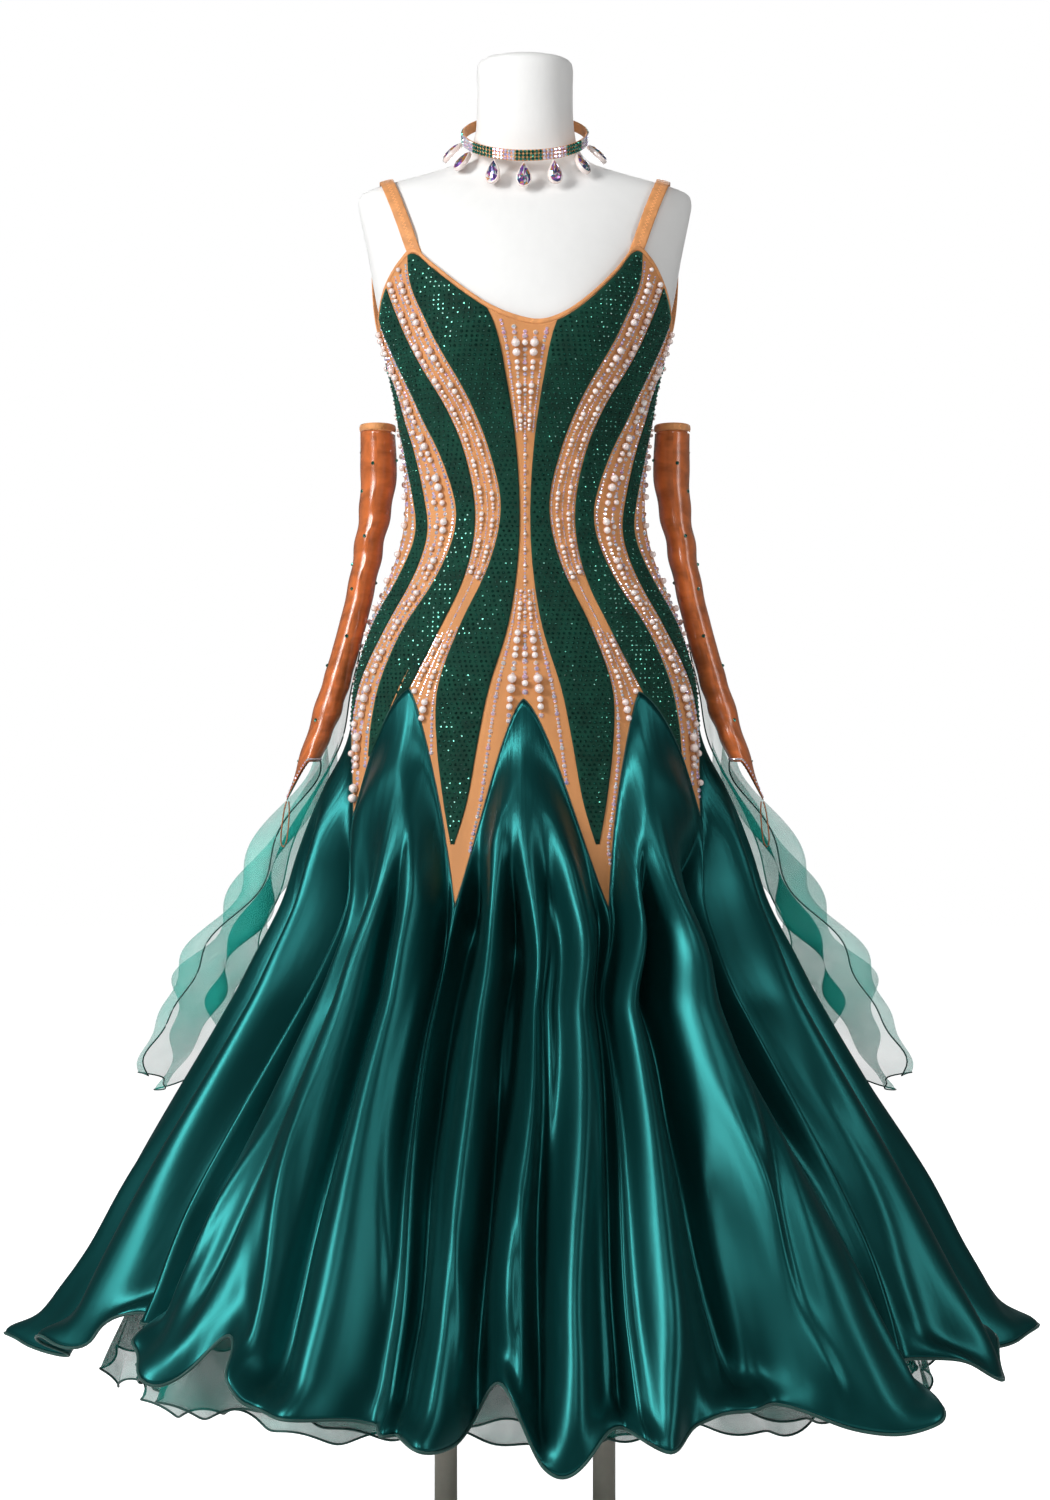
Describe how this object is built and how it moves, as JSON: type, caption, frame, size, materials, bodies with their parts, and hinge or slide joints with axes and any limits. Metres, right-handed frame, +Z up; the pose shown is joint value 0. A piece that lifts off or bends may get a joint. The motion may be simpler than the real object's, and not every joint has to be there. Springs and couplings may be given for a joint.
{
  "type": "ballroom dance dress on a dress form",
  "caption": "Ballroom gown with strapped velvet-panelled mesh bodice, full satin godet skirt, organza floats, mitts and neckband, worn by a limbless dress form on a two-post stand.",
  "frame": {"origin": "centre of the underside of the stand's base plate", "axes": "+Z up, the dress's front faces -Y, +X is to the right when looking at the front"},
  "size_m": [1.0855, 1.0026, 1.639],
  "materials": {
    "plate_steel": "satin grey paint",
    "post_paint": "cream semi-gloss paint",
    "form_cover": "smooth matt white jersey",
    "nude_mesh": "nude-tan stretch mesh, soft sheen",
    "velvet": "dark green stretch velvet set with small stones",
    "nude_elastic": "nude-tan binding and elastic with zigzag stitch",
    "satin": "teal-green satin, high sheen",
    "organza": "sheer sea-green organza with a corded edge",
    "mitt_mesh": "glossy copper-tan stretch mesh",
    "elastic_cord": "copper-brown covered elastic",
    "crystal": "foiled faceted crystal in a pale bezel"
  },
  "bodies": {
    "root": {"base_plate": "plate_steel", "post_left": "post_paint", "post_right": "post_paint", "dress_form": "form_cover", "bodice_front_mesh": "nude_mesh", "bodice_back_mesh": "nude_mesh", "velvet_front_inner_right": "velvet", "velvet_front_inner_left": "velvet", "velvet_front_outer_right": "velvet", "velvet_front_outer_left": "velvet", "velvet_side_right": "velvet", "velvet_side_left": "velvet", "velvet_back_outer_right": "velvet", "velvet_back_outer_left": "velvet", "velvet_back_inner_right": "velvet", "velvet_back_inner_left": "velvet", "neckline_binding": "nude_elastic", "strap_left": "nude_elastic", "strap_right": "nude_elastic", "godet_front_left": "satin", "godet_front_centre": "satin", "godet_front_right": "satin", "godet_side_right": "satin", "godet_back_right": "satin", "godet_back_centre": "satin", "godet_back_left": "satin", "godet_side_left": "satin", "organza_underskirt_upper": "organza", "organza_underskirt_lower": "organza", "mitt_left": "mitt_mesh", "mitt_left_top_band": "mitt_mesh", "mitt_left_finger_loop": "elastic_cord", "organza_float_left": "organza", "mitt_right": "mitt_mesh", "mitt_right_top_band": "mitt_mesh", "mitt_right_finger_loop": "elastic_cord", "organza_float_right": "organza", "neckband": "nude_elastic", "neckband_drop_1": "crystal", "neckband_drop_2": "crystal", "neckband_drop_3": "crystal", "neckband_drop_4": "crystal", "neckband_drop_5": "crystal", "neckband_drop_6": "crystal", "neckband_drop_7": "crystal"}
  },
  "joints": []
}
